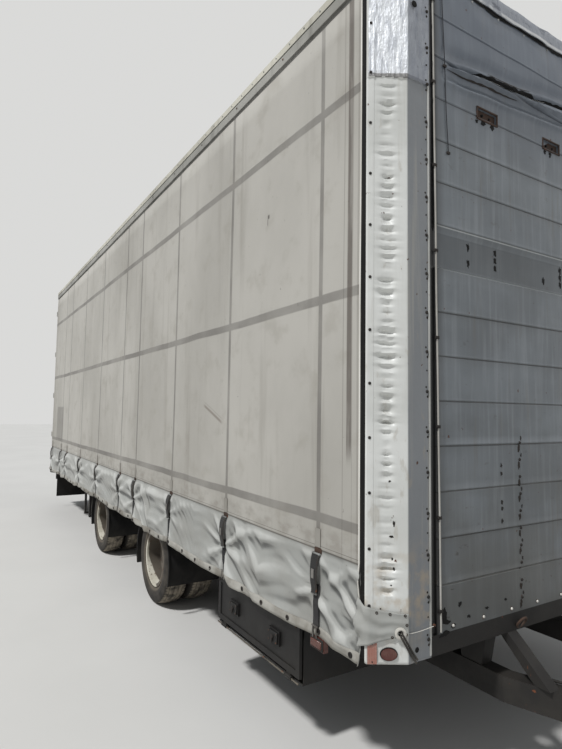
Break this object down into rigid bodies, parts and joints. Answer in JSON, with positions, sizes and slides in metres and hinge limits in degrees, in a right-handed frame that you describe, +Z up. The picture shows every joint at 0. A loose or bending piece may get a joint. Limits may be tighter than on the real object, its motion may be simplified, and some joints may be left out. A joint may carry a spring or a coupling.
{
  "type": "curtain-sided drawbar trailer",
  "caption": "Curtain-sided box trailer on a tandem of twin wheels, with planked front wall, chamfered posts, buckled side curtains and a low drawbar.",
  "frame": {"origin": "on the ground, at the middle of the whole trailer's length and width", "axes": "+X forward to the towing eye, +Y to the trailer's left, +Z up"},
  "size_m": [10.113, 2.58, 3.97],
  "materials": {
    "tyre_rubber": "dusty worn rubber",
    "wheel_paint": "worn matte",
    "curtain_fabric": "coated cloth, faded",
    "galvanised_steel": "dull",
    "white_paint": "chalky, dented",
    "wall_planks": "weathered satin",
    "grey_paint": "weathered satin",
    "aluminium_profile": "oxidised",
    "floor_board": "resin faced plywood",
    "black_rubber": "matte",
    "black_plastic": "dusty matte",
    "lamp_red": "gloss",
    "lamp_amber": "faded gloss",
    "forged_steel": "worn forging",
    "chassis_paint": "dusty satin"
  },
  "bodies": {
    "root": {"air_tank": "chassis_paint", "axles": "chassis_paint", "corner_markers": "black_rubber", "cross_members": "chassis_paint", "curtain_left": "curtain_fabric", "curtain_poles": "galvanised_steel", "curtain_right": "curtain_fabric", "drawbar": "chassis_paint", "floor_deck": "floor_board", "front_beam": "chassis_paint", "front_cap": "white_paint", "front_post_left": "white_paint", "front_post_right": "white_paint", "front_wall": "wall_planks", "leaf_springs": "chassis_paint", "main_beams": "chassis_paint", "mudguards": "black_plastic", "parking_jack": "chassis_paint", "rear_header": "grey_paint", "rear_mud_flap": "black_rubber", "rear_posts": "grey_paint", "rear_sill": "grey_paint", "roof_bows": "aluminium_profile", "roof_panel": "aluminium_profile", "roof_rails": "aluminium_profile", "side_markers": "lamp_amber", "side_posts": "aluminium_profile", "side_rails": "aluminium_profile", "spare_rim": "wheel_paint", "spare_tyre": "tyre_rubber", "spare_wheel_carrier": "chassis_paint", "tail_lamps": "lamp_red", "tool_box": "chassis_paint", "towing_eye": "forged_steel", "underrun_guard": "chassis_paint"},
    "wheel_set_front_right": {"tyres_front_right": "tyre_rubber", "wheel_front_right": "wheel_paint"},
    "wheel_set_front_left": {"tyres_front_left": "tyre_rubber", "wheel_front_left": "wheel_paint"},
    "wheel_set_rear_right": {"tyres_rear_right": "tyre_rubber", "wheel_rear_right": "wheel_paint"},
    "wheel_set_rear_left": {"tyres_rear_left": "tyre_rubber", "wheel_rear_left": "wheel_paint"},
    "door_right": {"rear_door_right": "grey_paint", "lock_rods_right": "galvanised_steel"},
    "door_left": {"rear_door_left": "grey_paint", "lock_rods_left": "galvanised_steel"},
    "box_door": {"tool_box_door": "chassis_paint"}
  },
  "joints": [
    {"name": "wheel_spin_front_right", "type": "hinge", "parent": "root", "child": "wheel_set_front_right", "pos_m": [0.6785, -1.012, 0.383], "axis": [0, 1, 0], "continuous": true},
    {"name": "wheel_spin_front_left", "type": "hinge", "parent": "root", "child": "wheel_set_front_left", "pos_m": [0.6785, 1.012, 0.383], "axis": [0, 1, 0], "continuous": true},
    {"name": "wheel_spin_rear_right", "type": "hinge", "parent": "root", "child": "wheel_set_rear_right", "pos_m": [-1.2915, -1.012, 0.383], "axis": [0, 1, 0], "continuous": true},
    {"name": "wheel_spin_rear_left", "type": "hinge", "parent": "root", "child": "wheel_set_rear_left", "pos_m": [-1.2915, 1.012, 0.383], "axis": [0, 1, 0], "continuous": true},
    {"name": "rear_door_right_hinge", "type": "hinge", "parent": "root", "child": "door_right", "pos_m": [-5.0435, -1.2645, 1.25], "axis": [0, 0, 1], "range_deg": [0, 270]},
    {"name": "rear_door_left_hinge", "type": "hinge", "parent": "root", "child": "door_left", "pos_m": [-5.0435, 1.2645, 1.25], "axis": [0, 0, -1], "range_deg": [0, 270]},
    {"name": "tool_box_door_hinge", "type": "hinge", "parent": "root", "child": "box_door", "pos_m": [2.5985, -1.262, 0.33], "axis": [1, 0, 0], "range_deg": [0, 170]}
  ]
}
